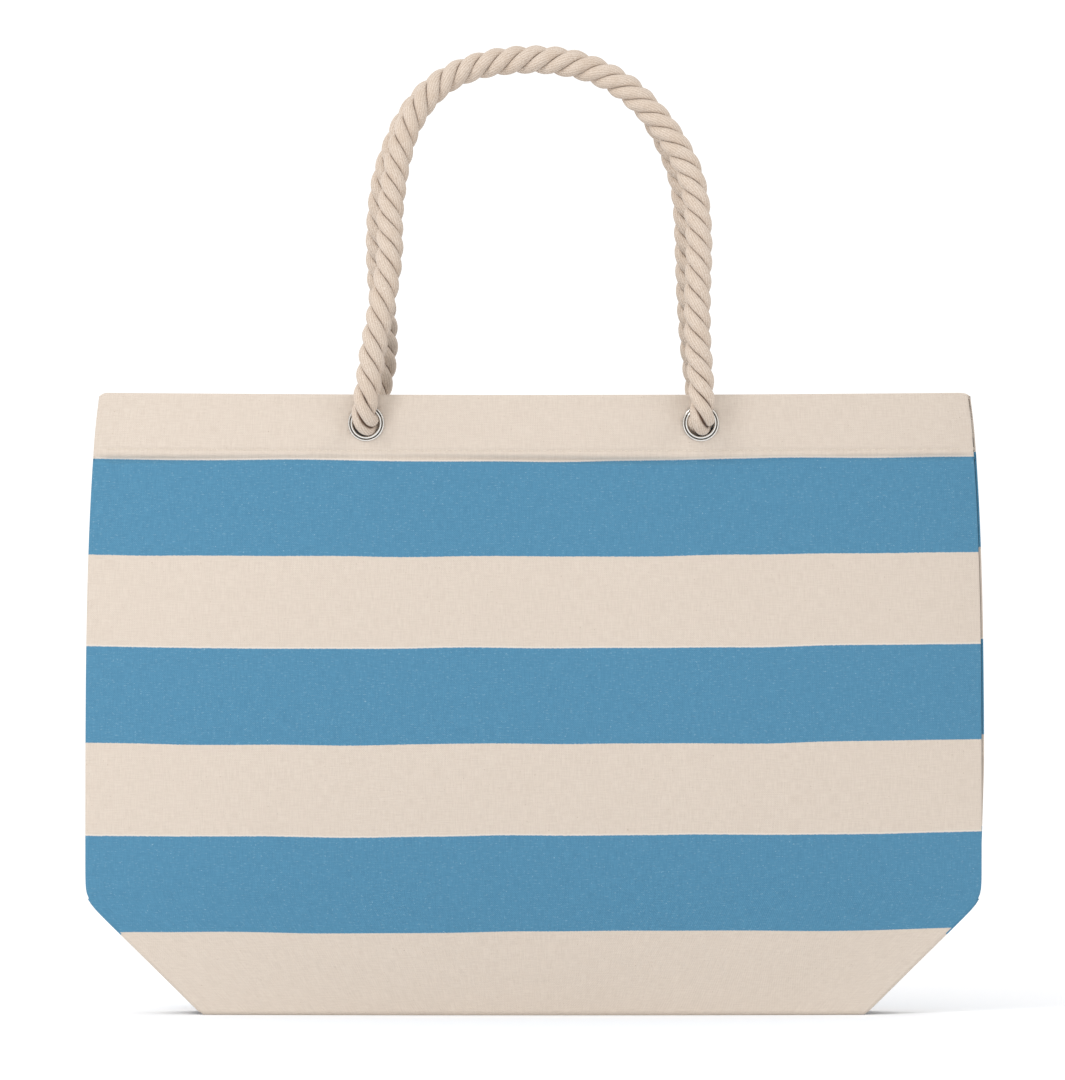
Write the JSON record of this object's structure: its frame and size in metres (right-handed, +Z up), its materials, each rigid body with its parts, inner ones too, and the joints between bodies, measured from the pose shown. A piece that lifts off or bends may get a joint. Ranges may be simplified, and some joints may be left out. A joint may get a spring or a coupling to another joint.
{
  "type": "beach bag",
  "caption": "Open-topped striped canvas beach bag with a boxed bottom, metal eyelets and two twisted rope carrying handles.",
  "frame": {"origin": "middle of the footprint, on the ground that the bag stands on", "axes": "+X across the bag to its right side, +Y to the back, +Z up; the front faces -Y"},
  "size_m": [0.54, 0.125, 0.5835],
  "materials": {
    "canvas": "plain-weave cotton canvas, cream with three wide dusty blue stripes",
    "rope": "three-strand twisted cotton rope, natural",
    "thread": "off-white sewing thread",
    "eyelet_metal": "polished nickel plate"
  },
  "bodies": {
    "bag": {"front_panel": "canvas", "back_panel": "canvas", "front_hem": "canvas", "back_hem": "canvas", "front_hem_stitching": "thread", "back_hem_stitching": "thread", "left_side_seam": "canvas", "right_side_seam": "canvas", "bottom_seam": "canvas", "left_corner_seam": "canvas", "right_corner_seam": "canvas", "front_left_eyelet": "eyelet_metal", "front_right_eyelet": "eyelet_metal", "back_left_eyelet": "eyelet_metal", "back_right_eyelet": "eyelet_metal", "front_left_washer": "eyelet_metal", "front_right_washer": "eyelet_metal", "back_left_washer": "eyelet_metal", "back_right_washer": "eyelet_metal", "front_left_knot": "rope", "front_right_knot": "rope", "back_left_knot": "rope", "back_right_knot": "rope", "front_left_binding": "thread", "front_right_binding": "thread", "back_left_binding": "thread", "back_right_binding": "thread"},
    "front_handle": {"front_handle": "rope"},
    "back_handle": {"back_handle": "rope"}
  },
  "joints": [
    {"name": "front_handle_swing", "type": "hinge", "parent": "bag", "child": "front_handle", "pos_m": [0, -0.055, 0.355], "axis": [1, 0, 0], "range_deg": [0, 180]},
    {"name": "back_handle_swing", "type": "hinge", "parent": "bag", "child": "back_handle", "pos_m": [0, 0.055, 0.355], "axis": [-1, 0, 0], "range_deg": [0, 180]}
  ]
}
